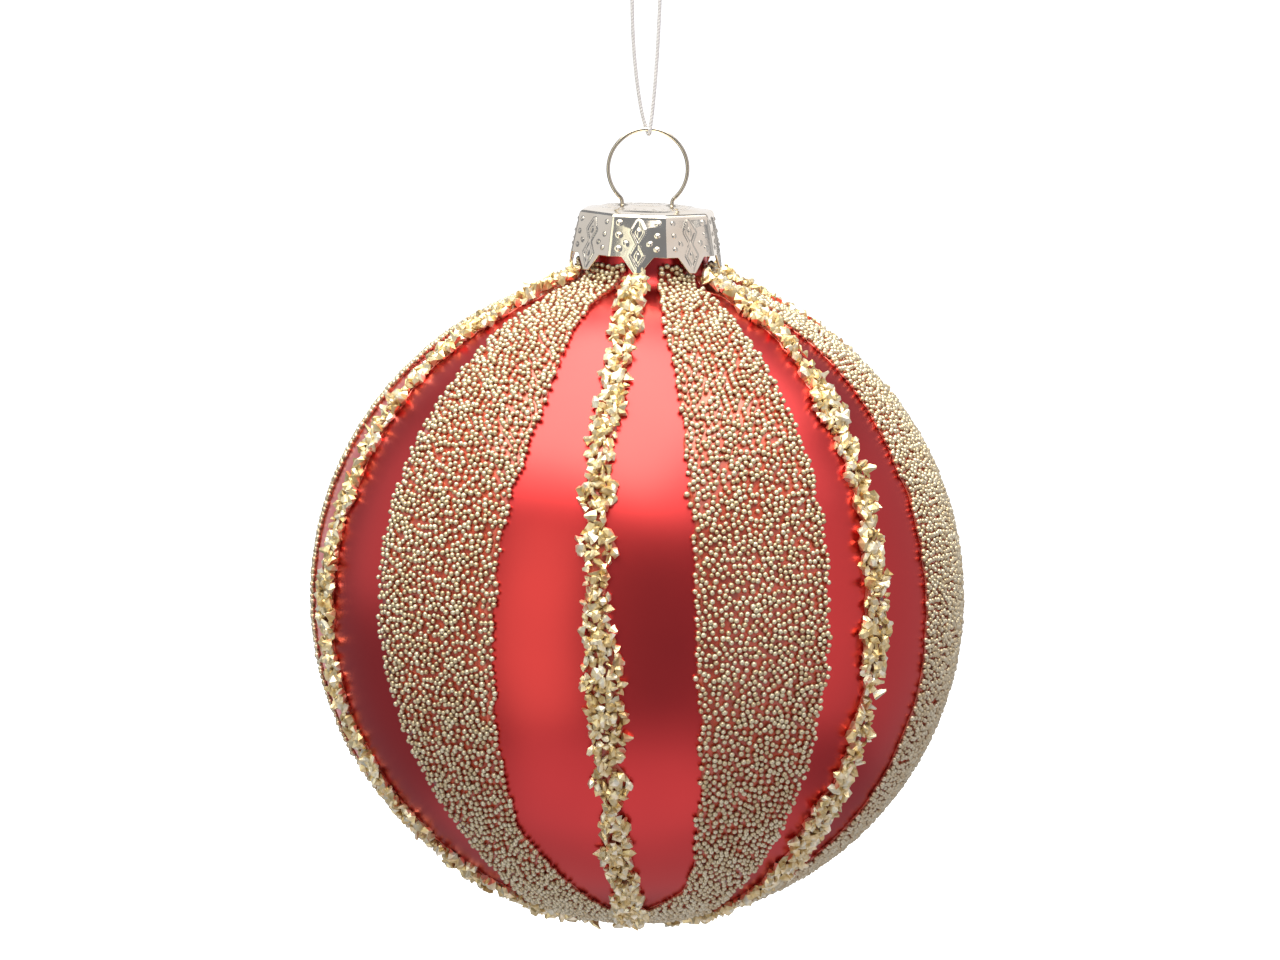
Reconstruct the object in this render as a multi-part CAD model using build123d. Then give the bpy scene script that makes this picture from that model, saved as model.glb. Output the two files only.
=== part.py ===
from build123d import *
import os
from math import acos, atan2, cos, degrees, pi, radians, sin, sqrt, tan

# Glass ball ornament, millimetres. Every piece is drawn about the centre of the ball, Z up and -Y
# towards the viewer, and put() moves it down so that the hang point of the thread is the origin.
HANG = 94.0             # hang point above the ball's centre

# Glass ball: one blown shell, open at the neck
BALL_R = 40.0
BALL_WALL = 0.8
NECK_R = 7.6
NECK_BORE_R = 6.7
NECK_TOP = 46.8
SHOULDER_R = 3.0        # blend between neck and ball
RIM_ROUND = 0.35

# Cap: stamped eight-sided sheet cup, flared towards its pointed hem
CAP_SIDES = 8
CAP_TOP_Z = 48.4
CAP_TIP_Z = 41.2
CAP_TOP_R = 8.6         # over the corners
CAP_HEM_R = 10.05
CAP_SHEET = 0.25
CAP_EDGE_ROUND = 0.6
CAP_TURN = 16.0         # angle of one corner from +X
NOTCH_Z = 43.2          # top of the hem notches, one at each corner
NOTCH_TOP_W = 3.4
NOTCH_HEM_W = 6.6
TOP_BEAD_R = 5.9        # raised ring pressed into the top face
TOP_BEAD_W = 0.22
EMBOSS = 0.12
DIAMOND = (0.85, 1.6)   # half width and half height
DIAMOND_Z = (46.2, 43.3)
DOT_R = 0.32
DOT_COLUMNS = ((2.4, 47.4), (2.4, 45.9), (2.4, 44.3), (1.5, 44.9))

# Wire clip: ring and spring legs bent from one wire
WIRE_D = 0.48
RING_R = 4.92           # to the wire's centre line
RING_Z = 53.45
RING_OPEN = 47.0        # angle below the ring's level at which the legs leave it
LEG_BEND_R = 0.8
LEG_SPLAY_Z = 45.4      # where a leg turns out towards the neck wall
LEG_WALL_Z = 42.0       # where it turns down along the wall
LEG_TOE_Z = 35.6
LEG_TIP_Z = 33.2
LEG_WALL_GAP = 0.07
LEG_TOE_IN = 0.9
HOLE_GAP = 0.08         # radial clearance of the two leg holes in the cap

# Thread: limp loop that passes once under the top of the ring and is knotted above it
THREAD_D = 0.48
BIGHT_R = 0.62          # from the wire's centre to the thread's centre
BULGES = (2.6, 1.0)     # how far the back and the front strand bow out to their own side
KNOT_Z = 94.9
KNOT_SCALE = 0.44
KNOT_FOOT = -1.3        # the loop's two ends enter the knot here
TAIL = 3.4

# Decoration: six broad stripes of tiny beads alternate with six narrow lines of chips
GLUE = 0.10
BEAD_LAYER = 0.62
CHIP_LAYER = 1.15
BEAD_CLIMB = 42.0       # degrees of the shoulder's own curve that a stripe follows up to the neck
CHIP_CLIMB = 42.0
BEAD_END_LAT = -84.0
CHIP_END_LAT = -81.0
CHIP_HALF_W = 2.2
CHIP_WEDGE = 7.0        # a line narrows to this half angle near the pole
BEAD_LONS = (-39.0, 23.0, 79.0, 139.0, 199.0, 259.0)
CHIP_LONS = (-7.0, 48.5, 109.0, 169.0, 228.0, 286.5)
BEAD_HALF = 13.2        # degrees of longitude each side of the stripe's centre
BEAD_TAPER = 2.4        # how much wider a stripe is at the top than at the equator
BEAD_FLARE = 2.4        # and how much it spreads again close to the lower pole
EDGE_WAVE = 0.6         # hand-laid edges wander by this many degrees


def put(shape):
    return Pos(0, 0, -HANG) * shape


def save(shape, node):
    shape = put(shape)
    shape.label = node
    export_step(shape, f"parts/{node}.step")
    print(f"{node}: {shape.volume:.2f} mm3")


# ---------------------------------------------------------------- glass ball

def ball_solid(radius, neck_radius, top):
    neck = extrude(Plane.XY.offset(BALL_R / 2) * Circle(neck_radius), top - BALL_R / 2)
    body = Sphere(radius) + neck
    shoulder = [e for e in body.edges() if abs(e.center().Z - sqrt(radius**2 - neck_radius**2)) < 0.5
                and e.length > neck_radius]
    return fillet(shoulder, SHOULDER_R)


def glass_ball():
    outer = ball_solid(BALL_R, NECK_R, NECK_TOP)
    inner = ball_solid(BALL_R - BALL_WALL, NECK_BORE_R, NECK_TOP + 1)
    shell = outer - inner
    rim = [e for e in shell.edges() if e.center().Z > NECK_TOP - 0.1 and e.length > NECK_BORE_R]
    return fillet(rim, RIM_ROUND)


# ---------------------------------------------------------------- cap

def cap_radius(z):
    share = (CAP_TOP_Z - z) / (CAP_TOP_Z - CAP_TIP_Z)
    return CAP_TOP_R + share * (CAP_HEM_R - CAP_TOP_R)


def cap_octagon(z, inset):
    flat = cap_radius(z) * cos(pi / CAP_SIDES) - inset
    return Plane.XY.offset(z) * RegularPolygon(flat / cos(pi / CAP_SIDES), CAP_SIDES, rotation=CAP_TURN)


def cap_cup():
    outer = loft([cap_octagon(CAP_TIP_Z, 0), cap_octagon(CAP_TOP_Z, 0)])
    outer = fillet(outer.edges().group_by(Axis.Z)[-1], CAP_EDGE_ROUND)
    inner_top = CAP_TOP_Z - CAP_SHEET
    inner = loft([cap_octagon(CAP_TIP_Z - 0.5, CAP_SHEET), cap_octagon(inner_top, CAP_SHEET)])
    inner = fillet(inner.edges().group_by(Axis.Z)[-1], CAP_EDGE_ROUND - CAP_SHEET)
    return outer - inner


def hem_notch():
    slope = (NOTCH_HEM_W - NOTCH_TOP_W) / 2 / (NOTCH_Z - CAP_TIP_Z)
    low = CAP_TIP_Z - 1
    wide = NOTCH_TOP_W / 2 + slope * (NOTCH_Z - low)
    half = NOTCH_TOP_W / 2
    outline = Plane.YZ * make_face(Polyline((-half, NOTCH_Z), (half, NOTCH_Z), (wide, low), (-wide, low),
                                            close=True))
    return Pos(NECK_R / 2, 0, 0) * extrude(outline, CAP_HEM_R)


def facet_plane(turn):
    lean = (CAP_HEM_R - CAP_TOP_R) * cos(pi / CAP_SIDES) / (CAP_TOP_Z - CAP_TIP_Z)
    a = radians(turn)
    mid = (CAP_TOP_Z + CAP_TIP_Z) / 2
    r = cap_radius(mid) * cos(pi / CAP_SIDES)
    return Plane(origin=(r * cos(a), r * sin(a), mid), x_dir=(-sin(a), cos(a), 0),
                 z_dir=(cos(a), sin(a), lean)), mid


def facet_emboss(turn):
    plane, mid = facet_plane(turn)
    w, h = DIAMOND
    shapes = [Pos(0, z - mid) * make_face(Polyline((-w, 0), (0, -h), (w, 0), (0, h), close=True))
              for z in DIAMOND_Z]
    shapes += [Pos(side * x, z - mid) * Circle(DOT_R) for x, z in DOT_COLUMNS for side in (-1, 1)]
    return [extrude(plane.offset(-EMBOSS / 2) * s, 1.5 * EMBOSS) for s in shapes]


def cap():
    turns = [CAP_TURN + k * 360 / CAP_SIDES for k in range(CAP_SIDES)]
    cup = cap_cup() - [Rot(0, 0, t) * hem_notch() for t in turns]
    bosses = [b for t in turns for b in facet_emboss(t + 180 / CAP_SIDES)]
    bead = Pos(0, 0, CAP_TOP_Z) * Torus(TOP_BEAD_R, TOP_BEAD_W)
    bead -= Pos(0, 0, CAP_TOP_Z - CAP_SHEET / 2 - 1) * Cylinder(2 * TOP_BEAD_R, 2)
    hole_r = WIRE_D / 2 + HOLE_GAP
    holes = [Pos(side * leg_x(), 0, CAP_TOP_Z) * Cylinder(hole_r, 3) for side in (-1, 1)]
    return cup + bosses + bead - holes


# ---------------------------------------------------------------- wire clip

def leg_x():
    open_ = radians(RING_OPEN)
    return RING_R * cos(open_) - LEG_BEND_R * (1 - cos(open_))


def leg_top():
    return RING_Z - (RING_R + LEG_BEND_R) * sin(radians(RING_OPEN))


def clip_half():
    wall_x = NECK_BORE_R - WIRE_D / 2 - LEG_WALL_GAP
    leg = FilletPolyline((wall_x - LEG_TOE_IN, LEG_TIP_Z), (wall_x, LEG_TOE_Z), (wall_x, LEG_WALL_Z),
                         (leg_x(), LEG_SPLAY_Z), (leg_x(), leg_top()), radius=LEG_BEND_R)
    bend = JernArc(leg @ 1, leg % 1, LEG_BEND_R, -RING_OPEN)
    ring = JernArc(bend @ 1, bend % 1, RING_R, 90 + RING_OPEN)
    return [Plane.XZ * e for e in leg.edges() + bend.edges() + ring.edges()]


def wire_clip():
    path = Wire(clip_half())
    section = Plane(origin=path.position_at(0), z_dir=path.tangent_at(0)) * Circle(WIRE_D / 2)
    half = sweep(section, path)
    return half + mirror(half, Plane.YZ)


# ---------------------------------------------------------------- thread

def thread_points():
    ring_top = RING_Z + RING_R
    # Heights above the ring's top and the share of the bulge reached there; the steps halve
    # towards the bight so that each bend is smooth.
    steps = ((0.55, 0.20), (2.0, 0.36), (5.2, 0.60), (11.0, 0.88), (19.0, 1.0), (27.0, 0.78), (32.0, 0.36))
    back, front = [[(side * bulge * share, -side * BIGHT_R * (1 - up / 40), ring_top + up) for up, share in steps]
                   for side, bulge in zip((-1, 1), BULGES)]
    bight = [(-0.10, BIGHT_R, ring_top - BIGHT_R), (0.10, -BIGHT_R, ring_top - BIGHT_R)]
    knot = KNOT_Z + KNOT_FOOT - 0.05
    return [(-0.30, 0.05, knot)] + back[::-1] + bight + front + [(0.30, -0.05, knot)]


def turn_at(a, b, c):
    u, v = (Vector(*b) - Vector(*a)).normalized(), (Vector(*c) - Vector(*b)).normalized()
    return acos(max(-1.0, min(1.0, u.dot(v))))


def bend_radii(pts):
    radii = []
    for a, b, c in zip(pts, pts[1:], pts[2:]):
        run = min((Vector(*b) - Vector(*a)).length, (Vector(*c) - Vector(*b)).length)
        radii.append(0.45 * run / tan(turn_at(a, b, c) / 2))
    return radii


def tube(pts, diameter, radii):
    path = FilletPolyline(*pts, radius=radii)
    wire = Wire(path.edges())
    section = Plane(origin=wire.position_at(0), z_dir=wire.tangent_at(0)) * Circle(diameter / 2)
    body = sweep(section, wire)
    ideal = wire.length * pi * diameter**2 / 4
    print(f"tube length {wire.length:.2f} mm, volume {body.volume:.3f} of {ideal:.3f} mm3")
    return body


def thread_loop():
    pts = thread_points()
    radii = bend_radii(pts)
    print("thread bend radii:", ", ".join(f"{r:.2f}" for r in radii))
    print("thread points:", [tuple(round(v, 3) for v in (x, y, z - HANG)) for x, y, z in pts])
    return tube(pts, THREAD_D, radii)


def knot_point(t):
    # the overhand knot follows a trefoil, open at its upper lobe where the tails leave it
    return Vector(sin(t) + 2 * sin(2 * t), 1.25 * sin(3 * t), 2 * cos(2 * t) - cos(t)) * KNOT_SCALE


def round_sweep(path):
    return sweep(Plane(origin=path @ 0, z_dir=path % 0) * Circle(THREAD_D / 2), path)


def thread_knot():
    turns = [pi + 0.45 + k * (2 * pi - 0.9) / 20 for k in range(21)]
    tails = [(-side * 1.1, 0.25 * side, TAIL) for side in (-1, 1)]
    wrap = round_sweep(Spline([tails[0]] + [knot_point(t) for t in turns] + [tails[1]]))
    foot = KNOT_FOOT
    stubs = [round_sweep(Line((side * 0.30, -side * 0.05, foot), (side * 0.62, -side * 0.2, foot + 0.6)))
             for side in (-1, 1)]
    return Pos(0, 0, KNOT_Z) * (wrap + stubs)


# ---------------------------------------------------------------- decoration

def shoulder_centre():
    r = NECK_R + SHOULDER_R
    return r, sqrt((BALL_R + SHOULDER_R) ** 2 - r ** 2)


def shoulder_lat():
    r, z = shoulder_centre()
    return degrees(atan2(z, r))


def layer_line(offset, lat_lo, climb):
    # up along the ball, then up the hollow curve of the shoulder
    lat = shoulder_lat()
    ball = CenterArc((0, 0), BALL_R + offset, lat_lo, lat - lat_lo)
    return [ball, CenterArc(shoulder_centre(), SHOULDER_R - offset, 180 + lat, -climb)]


def layer_sector(offset, thick, lat_lo, climb, half_angle):
    inner, outer = layer_line(offset, lat_lo, climb), layer_line(offset + thick, lat_lo, climb)
    ends = [Line(inner[0] @ 0, outer[0] @ 0), Line(inner[1] @ 1, outer[1] @ 1)]
    profile = Plane.XZ * make_face(inner + outer + ends)
    turned = Rot(0, 0, -90 - half_angle) * profile
    return revolve(turned, Axis.Z, revolution_arc=2 * half_angle)


def stripe(lon, offset, thick, lat_lo, climb, edges):
    # edges(latitude) gives the stripe's left and right side, across its own middle
    lats = [lat_lo - 3 + k * (shoulder_lat() + 5.5 - lat_lo) / 17 for k in range(18)]
    r = BALL_R + offset + thick / 2
    left = [(edges(a)[0], r * sin(radians(a))) for a in lats]
    right = [(edges(a)[1], r * sin(radians(a))) for a in lats]
    low, high = -r - 2, r + 4
    outline = [Spline(left), Spline(right[::-1]),
               Polyline(left[-1], (left[-1][0], high), (right[-1][0], high), right[-1]),
               Polyline(right[0], (right[0][0], low), (left[0][0], low), left[0])]
    prism = extrude(Plane.XZ * make_face(outline), 2 * BALL_R)
    sector = layer_sector(offset, thick, lat_lo, climb, 24)
    return Rot(0, 0, lon) * (sector & prism)


def bead_edges(index):
    def edges(lat):
        half = BEAD_HALF + BEAD_TAPER * sin(radians(lat)) + BEAD_FLARE * max(0.0, (-lat - 55) / 30) ** 2
        wave = [EDGE_WAVE * sin(radians(4.1 * lat) + 2.1 * index + 1.3 * side) for side in (0, 1)]
        r = BALL_R * cos(radians(lat))
        return r * sin(radians(wave[0] - half)), r * sin(radians(wave[1] + half))
    return edges


def chip_edges(index):
    def edges(lat):
        r = BALL_R * cos(radians(lat))
        half = min(CHIP_HALF_W, r * sin(radians(CHIP_WEDGE)))
        middle = r * sin(radians(EDGE_WAVE * sin(radians(3.3 * lat) + 1.7 * index)))
        return middle - half, middle + half
    return edges


def save_stripes():
    for k, lon in enumerate(BEAD_LONS):
        for name, offset, thick in (("bead_glue", 0, GLUE), ("bead_stripe", GLUE, BEAD_LAYER)):
            save(stripe(lon, offset, thick, BEAD_END_LAT, BEAD_CLIMB, bead_edges(k)), f"{name}_{k + 1}")
    for k, lon in enumerate(CHIP_LONS):
        for name, offset, thick in (("chip_glue", 0, GLUE), ("chip_line", GLUE, CHIP_LAYER)):
            save(stripe(lon, offset, thick, CHIP_END_LAT, CHIP_CLIMB, chip_edges(k)), f"{name}_{k + 1}")


os.makedirs("parts", exist_ok=True)
save(glass_ball(), "glass_ball")
save(cap(), "cap")
save(wire_clip(), "wire_clip")
save(thread_loop(), "thread_loop")
save(thread_knot(), "thread_knot")
save_stripes()
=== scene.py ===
# Glass ball ornament: the finished look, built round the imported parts. Metres, Z up, -Y to the viewer.
import math

import bpy
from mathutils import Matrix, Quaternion, Vector, noise


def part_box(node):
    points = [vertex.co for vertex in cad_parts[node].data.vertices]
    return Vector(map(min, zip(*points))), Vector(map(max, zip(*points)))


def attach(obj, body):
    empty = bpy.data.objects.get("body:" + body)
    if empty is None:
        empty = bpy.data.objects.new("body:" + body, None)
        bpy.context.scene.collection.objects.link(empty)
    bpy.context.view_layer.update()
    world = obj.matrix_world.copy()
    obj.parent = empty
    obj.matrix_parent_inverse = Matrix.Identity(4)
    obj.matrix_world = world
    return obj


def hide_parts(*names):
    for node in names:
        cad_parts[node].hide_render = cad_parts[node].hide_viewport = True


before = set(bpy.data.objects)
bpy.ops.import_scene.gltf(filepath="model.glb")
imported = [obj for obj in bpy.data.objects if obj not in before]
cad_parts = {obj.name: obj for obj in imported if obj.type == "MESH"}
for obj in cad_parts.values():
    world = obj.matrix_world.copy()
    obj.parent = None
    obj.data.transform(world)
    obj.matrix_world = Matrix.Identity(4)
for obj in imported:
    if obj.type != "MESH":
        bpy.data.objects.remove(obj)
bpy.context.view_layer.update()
scene = bpy.context.scene
scene.view_settings.view_transform = "Standard"
mm = 0.001

# places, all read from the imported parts

glassLow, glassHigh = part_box("glass_ball")
ball = {
    "radius": 40.0 * mm,
    "wall": 0.8 * mm,
    "neckRadius": 7.6 * mm,
    "neckBore": 6.7 * mm,
    "shoulder": 3.0 * mm,      # hollow curve between neck and ball
    "rimRound": 0.35 * mm,
    "segments": 200,           # round the ball
    "arcSteps": 120, "shoulderSteps": 14, "rimSteps": 6,
}
centre = Vector((0, 0, glassLow[2] + ball["radius"]))
neckTop = glassHigh[2] - centre.z

# camera

camera = {
    "distance": 1.4,
    "elevation": 6.3,
    "aim": (0.0, 0.0, 0.0146),      # from the ball's centre
    "roll": 1.45,                   # the ornament hangs a little out of plumb
    "viewWidth": 0.1592,            # what the long side of the frame takes in at the ball
    "sensor": 36,                   # millimetres
    "near": 0.05, "far": 30,
}


def makeCamera():
    data = bpy.data.cameras.new("camera")
    data.sensor_width = camera["sensor"]
    data.lens = camera["sensor"] * camera["distance"] / camera["viewWidth"]
    data.clip_start, data.clip_end = camera["near"], camera["far"]
    eye = bpy.data.objects.new("camera", data)
    scene.collection.objects.link(eye)
    tilt = math.radians(camera["elevation"])
    back = Vector((0, -math.cos(tilt), math.sin(tilt)))
    eye.location = centre + Vector(camera["aim"]) + back * camera["distance"]
    level = (-back).to_track_quat("-Z", "Y")
    roll = Quaternion((0, 0, 1), math.radians(camera["roll"]))
    eye.rotation_euler = (level @ roll).to_euler()
    scene.camera = eye


makeCamera()

# small helpers


def place(obj, body, slotName, *nodes):
    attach(obj, body)
    if nodes:
        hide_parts(*nodes)


def meshPiece(name, verts, faces, material, smooth=True):
    mesh = bpy.data.meshes.new(name)
    mesh.from_pydata([tuple(v) for v in verts], [], faces)
    mesh.validate()
    mesh.materials.append(material)
    mesh.polygons.foreach_set("use_smooth", [smooth] * len(mesh.polygons))
    obj = bpy.data.objects.new(name, mesh)
    scene.collection.objects.link(obj)
    return obj


def ringQuads(rings, n):
    # the faces between closed rings of n corners, one ring after another
    return [(a * n + s, a * n + (s + 1) % n, (a + 1) * n + (s + 1) % n, (a + 1) * n + s)
            for a in range(rings - 1) for s in range(n)]


def newMaterial(name, **sockets):
    # underscores stand for the spaces in the sockets' labels
    material = bpy.data.materials.new(name)
    material.use_nodes = True
    tree = material.node_tree
    shader = tree.nodes["Principled BSDF"]
    for label, value in sockets.items():
        shader.inputs[label.replace("_", " ")].default_value = value
    return material, tree, shader


def addNode(tree, kind, inputs=None, **settings):
    node = tree.nodes.new(kind)
    for key, value in settings.items():
        setattr(node, key, value)
    for key, value in (inputs or {}).items():
        node.inputs[key].default_value = value
    return node


def objectNoise(tree, scale, detail=3.0):
    coords = addNode(tree, "ShaderNodeTexCoord")
    pattern = addNode(tree, "ShaderNodeTexNoise", {"Scale": scale, "Detail": detail})
    tree.links.new(coords.outputs["Object"], pattern.inputs["Vector"])
    return pattern.outputs["Fac"]


def colourFrom(tree, shader, source, *stops):
    # each stop is a place on the ramp and its colour
    node = addNode(tree, "ShaderNodeValToRGB")
    marks = node.color_ramp.elements
    marks[0].position, marks[0].color = stops[0][0], (*stops[0][1], 1)
    marks[1].position, marks[1].color = stops[-1][0], (*stops[-1][1], 1)
    for spot, colour in stops[1:-1]:
        marks.new(spot).color = (*colour, 1)
    tree.links.new(source, node.inputs["Fac"])
    tree.links.new(node.outputs["Color"], shader.inputs["Base Color"])


def roughnessFrom(tree, shader, source, limits):
    node = addNode(tree, "ShaderNodeMapRange", {"To Min": limits[0], "To Max": limits[1]})
    tree.links.new(source, node.inputs["Value"])
    tree.links.new(node.outputs["Result"], shader.inputs["Roughness"])


def bumpFrom(tree, shader, height, distance, strength):
    bump = addNode(tree, "ShaderNodeBump", {"Distance": distance, "Strength": strength})
    tree.links.new(height, bump.inputs["Height"])
    tree.links.new(bump.outputs["Normal"], shader.inputs["Normal"])


def mathNode(tree, operation, a, b):
    node = addNode(tree, "ShaderNodeMath", operation=operation)
    for socket, value in zip(node.inputs, (a, b)):
        if hasattr(value, "node"):
            tree.links.new(value, socket)
        else:
            socket.default_value = value
    return node.outputs[0]


# materials

finish = {
    # colours
    "lacquerDeep": (0.62, 0.014, 0.016),
    "lacquerBright": (0.69, 0.020, 0.020),
    "lacquerEdge": (0.80, 0.18, 0.20, 1),      # what the lacquer turns to at a glancing angle
    "silverShade": (0.55, 0.54, 0.52),
    "silverShine": (0.80, 0.79, 0.77),
    "beadDark": (0.57, 0.44, 0.27),
    "beadPale": (0.65, 0.53, 0.35),
    "beadWhite": (0.75, 0.67, 0.50),
    "chipGold": (0.60, 0.42, 0.17),
    "chipPale": (0.82, 0.66, 0.38),
    "chipWhite": (0.96, 0.89, 0.72),
    # glue: red under a clear film, darkened and tinted brown as painted shade and painted reflection of the
    # gold beads round it
    "glueDeepShade": (0.42, 0.050, 0.020),
    "glueRed": (0.72, 0.10, 0.045),
    "capShade": (0.88, 0.78, 0.64),
    "capShine": (0.94, 0.87, 0.75),
    "wireShade": (0.56, 0.48, 0.38),
    "wireShine": (0.70, 0.62, 0.50),
    # thread: the twist's grooves take the darker colour as painted shade, and its ridges the lighter one as
    # painted highlight
    "threadGrooveShade": (0.60, 0.57, 0.58),
    "threadRidgeShine": (0.80, 0.77, 0.78),
    # least and greatest roughness
    "lacquerRough": (0.31, 0.34),
    "silverRough": (0.14, 0.30),
    "beadRough": (0.32, 0.42),
    "chipRough": (0.28, 0.46),
    "glueRough": (0.22, 0.40),
    "capRough": (0.07, 0.17),
    "wireRough": (0.15, 0.24),
    "threadRough": 0.55,
    # the clear skin over the lacquer, and over the glue
    "skin": 0.82, "skinRough": 0.30, "skinIndex": 1.56,
    "glueSkin": 0.9, "glueSkinRough": 0.08,
    # chips: how far each one's own tone and the cloud across it shift its colour
    "chipTone": 0.5, "chipCloud": 1.3, "chipOffset": 0.38,
    "threadLay": 35,                           # degrees that the thread's twist leans
}


def redLacquer():
    # satin red over silver: a coloured mirror, blurred, with a thin clear skin
    material, tree, shader = newMaterial("redLacquer", Metallic=1.0, Specular_Tint=finish["lacquerEdge"],
                                         Coat_Weight=finish["skin"], Coat_Roughness=finish["skinRough"],
                                         Coat_IOR=finish["skinIndex"])
    colourFrom(tree, shader, objectNoise(tree, scale=60, detail=2), (0.3, finish["lacquerDeep"]),
               (0.7, finish["lacquerBright"]))
    roughnessFrom(tree, shader, objectNoise(tree, scale=140), finish["lacquerRough"])
    bumpFrom(tree, shader, objectNoise(tree, scale=2600, detail=2), distance=0.01 * mm, strength=0.2)
    return material


def innerSilver():
    material, tree, shader = newMaterial("innerSilver", Metallic=1.0)
    colourFrom(tree, shader, objectNoise(tree, scale=90), (0.35, finish["silverShade"]),
               (0.7, finish["silverShine"]))
    roughnessFrom(tree, shader, objectNoise(tree, scale=200), finish["silverRough"])
    return material


def beadMetal():
    material, tree, shader = newMaterial("beadMetal", Metallic=0.75)
    tone = addNode(tree, "ShaderNodeAttribute", attribute_name="tone")
    colourFrom(tree, shader, tone.outputs["Fac"], (0.0, finish["beadDark"]), (0.25, finish["beadPale"]),
               (1.0, finish["beadWhite"]))
    roughnessFrom(tree, shader, objectNoise(tree, scale=900), finish["beadRough"])
    return material


def chipMetal():
    material, tree, shader = newMaterial("chipMetal", Metallic=0.8)
    tone = addNode(tree, "ShaderNodeAttribute", attribute_name="tone")
    cloud = mathNode(tree, "MULTIPLY", objectNoise(tree, scale=1000, detail=2), finish["chipCloud"])
    cloud = mathNode(tree, "SUBTRACT", cloud, finish["chipOffset"])
    ownTone = mathNode(tree, "MULTIPLY", tone.outputs["Fac"], finish["chipTone"])
    blend = mathNode(tree, "ADD", ownTone, cloud)
    colourFrom(tree, shader, blend, (0.15, finish["chipGold"]), (0.5, finish["chipPale"]),
               (0.85, finish["chipWhite"]))
    roughnessFrom(tree, shader, objectNoise(tree, scale=1500), finish["chipRough"])
    bumpFrom(tree, shader, objectNoise(tree, scale=2600, detail=2), distance=0.05 * mm, strength=0.4)
    return material


def glueFilm():
    material, tree, shader = newMaterial("glueFilm", Metallic=0.3, Coat_Weight=finish["glueSkin"],
                                         Coat_Roughness=finish["glueSkinRough"])
    # the film's red is darkened and browned at random, as painted shade between the beads and chips and
    # painted reflection of the gold beads
    colourFrom(tree, shader, objectNoise(tree, scale=700), (0.35, finish["glueDeepShade"]),
               (0.65, finish["glueRed"]))
    roughnessFrom(tree, shader, objectNoise(tree, scale=500), finish["glueRough"])
    bumpFrom(tree, shader, objectNoise(tree, scale=1100), distance=0.08 * mm, strength=0.5)
    return material


def capMetal():
    material, tree, shader = newMaterial("capMetal", Metallic=1.0)
    colourFrom(tree, shader, objectNoise(tree, scale=260, detail=4), (0.35, finish["capShade"]),
               (0.7, finish["capShine"]))
    roughnessFrom(tree, shader, objectNoise(tree, scale=700, detail=4), finish["capRough"])
    bumpFrom(tree, shader, objectNoise(tree, scale=900), distance=0.02 * mm, strength=0.5)
    return material


def wireMetal():
    material, tree, shader = newMaterial("wireMetal", Metallic=1.0)
    colourFrom(tree, shader, objectNoise(tree, scale=400), (0.35, finish["wireShade"]),
               (0.7, finish["wireShine"]))
    roughnessFrom(tree, shader, objectNoise(tree, scale=900), finish["wireRough"])
    return material


def threadFibre():
    material, tree, shader = newMaterial("threadFibre", Roughness=finish["threadRough"], Sheen_Weight=0.3,
                                         Sheen_Roughness=0.4)
    coords = addNode(tree, "ShaderNodeTexCoord")
    lay = addNode(tree, "ShaderNodeMapping", {"Rotation": (0, math.radians(finish["threadLay"]), 0)})
    twist = addNode(tree, "ShaderNodeTexWave", {"Scale": 900, "Distortion": 1.5, "Detail": 1},
                    bands_direction="Z")
    tree.links.new(coords.outputs["Object"], lay.inputs["Vector"])
    tree.links.new(lay.outputs["Vector"], twist.inputs["Vector"])
    # painted shade in the twist's grooves and painted highlight on its ridges, following the same bands as
    # the bump
    colourFrom(tree, shader, twist.outputs["Fac"], (0.1, finish["threadGrooveShade"]), (0.7, finish["threadRidgeShine"]))
    bumpFrom(tree, shader, twist.outputs["Fac"], distance=0.04 * mm, strength=0.5)
    return material


lacquer, silver, beadLook, chipLook = redLacquer(), innerSilver(), beadMetal(), chipMetal()
glueLook, capLook, wireLook, threadLook = glueFilm(), capMetal(), wireMetal(), threadFibre()
print("materials made")

# thread: one limp loop, pulled straight by the ball's weight, round the wire and back to its knot

thread = {
    "diameter": 0.48 * mm,
    "length": 0.0729,          # along the whole loop
    # both strands from the knot down to the bight under the wire, in millimetres
    "backStrand": [(-0.3, 0.05, -0.45), (-0.936, 0.124, -3.63), (-2.028, 0.201, -8.63),
                   (-2.6, 0.326, -16.63), (-2.288, 0.45, -24.63), (-1.56, 0.539, -30.43),
                   (-0.936, 0.589, -33.63), (-0.52, 0.611, -35.08), (-0.1, 0.62, -36.25)],
    "frontStrand": [(0.3, -0.05, -0.45), (0.36, -0.124, -3.63), (0.78, -0.201, -8.63),
                    (1.0, -0.326, -16.63), (0.88, -0.45, -24.63), (0.6, -0.539, -30.43),
                    (0.36, -0.589, -33.63), (0.2, -0.611, -35.08), (0.1, -0.62, -36.25)],
}


def makeThread():
    route = thread["backStrand"] + thread["frontStrand"][::-1]
    data = bpy.data.curves.new("hangingThread", "CURVE")
    data.dimensions = "3D"
    data.bevel_depth = thread["diameter"] / 2
    data.bevel_resolution = 4
    data.resolution_u = 16
    data.use_fill_caps = True
    spline = data.splines.new("NURBS")
    spline.points.add(len(route) - 1)
    for point, spot in zip(spline.points, route):
        point.co = (*(Vector(spot) * mm), 1)
    spline.order_u = 3
    spline.use_endpoint_u = True
    data.materials.append(threadLook)
    obj = bpy.data.objects.new("hangingThread", data)
    scene.collection.objects.link(obj)
    place(obj, "hang_thread", "thread", "thread_loop")


def dressNode(name, material):
    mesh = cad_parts[name].data
    mesh.materials.clear()
    mesh.materials.append(material)


makeThread()
dressNode("thread_knot", threadLook)
print("thread made")

# glass ball: one blown wall, turned


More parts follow.
